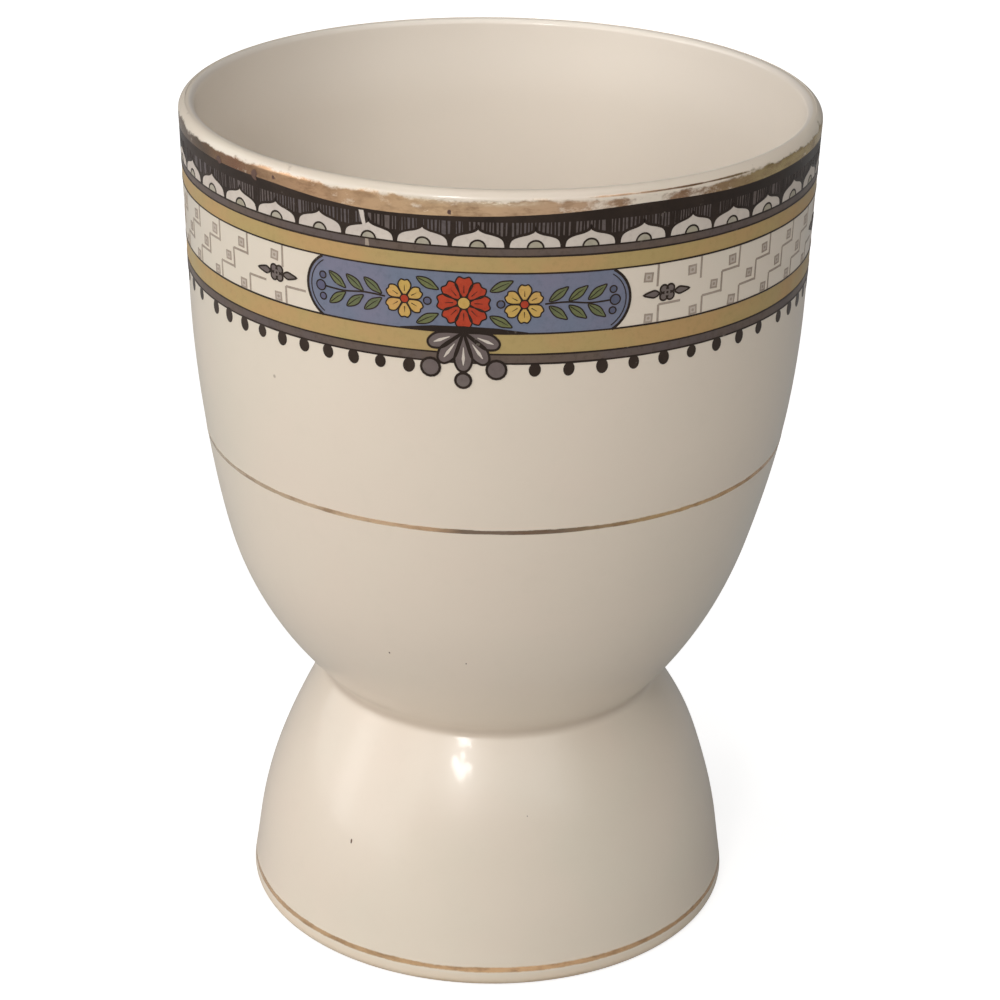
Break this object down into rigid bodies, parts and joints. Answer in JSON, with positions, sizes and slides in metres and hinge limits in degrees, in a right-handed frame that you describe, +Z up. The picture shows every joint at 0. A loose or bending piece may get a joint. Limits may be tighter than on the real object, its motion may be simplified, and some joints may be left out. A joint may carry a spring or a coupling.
{
  "type": "egg cup",
  "caption": "Double egg cup in glazed porcelain: a large cup above, a small cup mouth down as its foot, with a printed border and gilt lines.",
  "frame": {"origin": "centre of the foot ring, on the surface that the cup stands on", "axes": "+Z up along the axis of both cups, -Y towards the front of the printed border, +X to its right"},
  "size_m": [0.0648, 0.0648, 0.0889],
  "materials": {
    "porcelain": "clear gloss glaze over warm ivory porcelain",
    "slip": "fired slip under the glaze",
    "gilding": "thin fired gold, rubbed and worn",
    "dark_enamel": "printed on-glaze enamel, soft gloss",
    "grey_enamel": "printed on-glaze enamel, soft gloss",
    "yellow_enamel": "printed on-glaze enamel, soft gloss",
    "blue_enamel": "printed on-glaze enamel, soft gloss",
    "red_enamel": "printed on-glaze enamel, soft gloss",
    "green_enamel": "printed on-glaze enamel, soft gloss"
  },
  "bodies": {
    "root": {"bowl": "porcelain", "foot_cup": "porcelain", "slip_lute": "slip", "rim_gilding": "gilding", "belt_gilding": "gilding", "foot_gilding": "gilding", "dark_print": "dark_enamel", "grey_print": "grey_enamel", "yellow_print": "yellow_enamel", "red_print": "red_enamel", "leaf_print": "green_enamel", "blue_print": "blue_enamel", "bead_print": "dark_enamel"}
  },
  "joints": []
}
